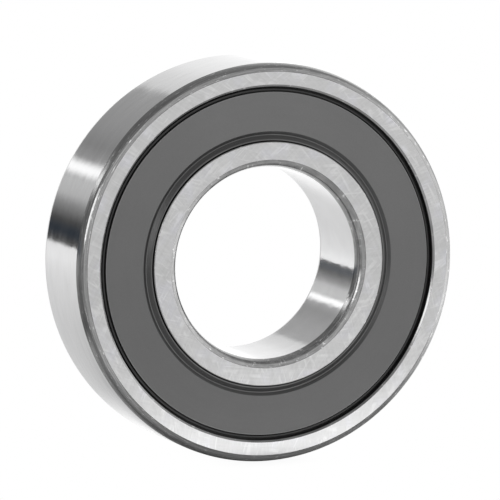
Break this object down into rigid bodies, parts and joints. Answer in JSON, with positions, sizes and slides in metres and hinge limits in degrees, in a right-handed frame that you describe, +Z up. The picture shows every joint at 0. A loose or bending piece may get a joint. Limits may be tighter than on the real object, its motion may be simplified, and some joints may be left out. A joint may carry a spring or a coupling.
{
  "type": "ball bearing",
  "caption": "Sealed deep-groove ball bearing: outer and inner steel rings with balls in a riveted cage between them, closed by a rubber contact seal on each side.",
  "frame": {"origin": "centre of the bearing, on its axis, midway between the two side faces", "axes": "+Y along the bearing's axis, from the front face (the side the picture shows) to the rear face; +Z up as the bearing stands in the picture; +X to the right seen from the front"},
  "size_m": [0.058, 0.016, 0.058],
  "materials": {
    "ring_steel": "satin",
    "ball_steel": "polished",
    "cage_steel": "satin",
    "rivet_steel": "satin",
    "insert_steel": "satin",
    "seal_rubber": "matte"
  },
  "bodies": {
    "outer": {"outer_ring": "ring_steel", "seal_front": "seal_rubber", "seal_rear": "seal_rubber", "seal_front_insert": "insert_steel", "seal_rear_insert": "insert_steel"},
    "inner": {"inner_ring": "ring_steel"},
    "cage": {"cage_front": "cage_steel", "cage_rear": "cage_steel", "rivet_1": "rivet_steel", "rivet_2": "rivet_steel", "rivet_3": "rivet_steel", "rivet_4": "rivet_steel", "rivet_5": "rivet_steel", "rivet_6": "rivet_steel", "rivet_7": "rivet_steel", "rivet_8": "rivet_steel", "rivet_9": "rivet_steel"},
    "ball_1": {"ball_1": "ball_steel"},
    "ball_2": {"ball_2": "ball_steel"},
    "ball_3": {"ball_3": "ball_steel"},
    "ball_4": {"ball_4": "ball_steel"},
    "ball_5": {"ball_5": "ball_steel"},
    "ball_6": {"ball_6": "ball_steel"},
    "ball_7": {"ball_7": "ball_steel"},
    "ball_8": {"ball_8": "ball_steel"},
    "ball_9": {"ball_9": "ball_steel"}
  },
  "joints": [
    {"name": "inner_ring_spin", "type": "hinge", "parent": "outer", "child": "inner", "pos_m": [0, 0, 0], "axis": [0, 1, 0], "continuous": true},
    {"name": "cage_spin", "type": "hinge", "parent": "outer", "child": "cage", "pos_m": [0, 0, 0], "axis": [0, 1, 0], "continuous": true},
    {"name": "ball_1_spin", "type": "hinge", "parent": "cage", "child": "ball_1", "pos_m": [0, 0, 0.0215], "axis": [0, 1, 0], "continuous": true},
    {"name": "ball_2_spin", "type": "hinge", "parent": "cage", "child": "ball_2", "pos_m": [0.01382, 0, 0.01647], "axis": [0, 1, 0], "continuous": true},
    {"name": "ball_3_spin", "type": "hinge", "parent": "cage", "child": "ball_3", "pos_m": [0.02117, 0, 0.00373], "axis": [0, 1, 0], "continuous": true},
    {"name": "ball_4_spin", "type": "hinge", "parent": "cage", "child": "ball_4", "pos_m": [0.01862, 0, -0.01075], "axis": [0, 1, 0], "continuous": true},
    {"name": "ball_5_spin", "type": "hinge", "parent": "cage", "child": "ball_5", "pos_m": [0.00735, 0, -0.0202], "axis": [0, 1, 0], "continuous": true},
    {"name": "ball_6_spin", "type": "hinge", "parent": "cage", "child": "ball_6", "pos_m": [-0.00735, 0, -0.0202], "axis": [0, 1, 0], "continuous": true},
    {"name": "ball_7_spin", "type": "hinge", "parent": "cage", "child": "ball_7", "pos_m": [-0.01862, 0, -0.01075], "axis": [0, 1, 0], "continuous": true},
    {"name": "ball_8_spin", "type": "hinge", "parent": "cage", "child": "ball_8", "pos_m": [-0.02117, 0, 0.00373], "axis": [0, 1, 0], "continuous": true},
    {"name": "ball_9_spin", "type": "hinge", "parent": "cage", "child": "ball_9", "pos_m": [-0.01382, 0, 0.01647], "axis": [0, 1, 0], "continuous": true}
  ],
  "couplings": [
    {"joint": "cage_spin", "follows": "inner_ring_spin", "ratio": 0.39848},
    {"joint": "ball_1_spin", "follows": "inner_ring_spin", "ratio": -2.361},
    {"joint": "ball_2_spin", "follows": "inner_ring_spin", "ratio": -2.361},
    {"joint": "ball_3_spin", "follows": "inner_ring_spin", "ratio": -2.361},
    {"joint": "ball_4_spin", "follows": "inner_ring_spin", "ratio": -2.361},
    {"joint": "ball_5_spin", "follows": "inner_ring_spin", "ratio": -2.361},
    {"joint": "ball_6_spin", "follows": "inner_ring_spin", "ratio": -2.361},
    {"joint": "ball_7_spin", "follows": "inner_ring_spin", "ratio": -2.361},
    {"joint": "ball_8_spin", "follows": "inner_ring_spin", "ratio": -2.361},
    {"joint": "ball_9_spin", "follows": "inner_ring_spin", "ratio": -2.361}
  ]
}
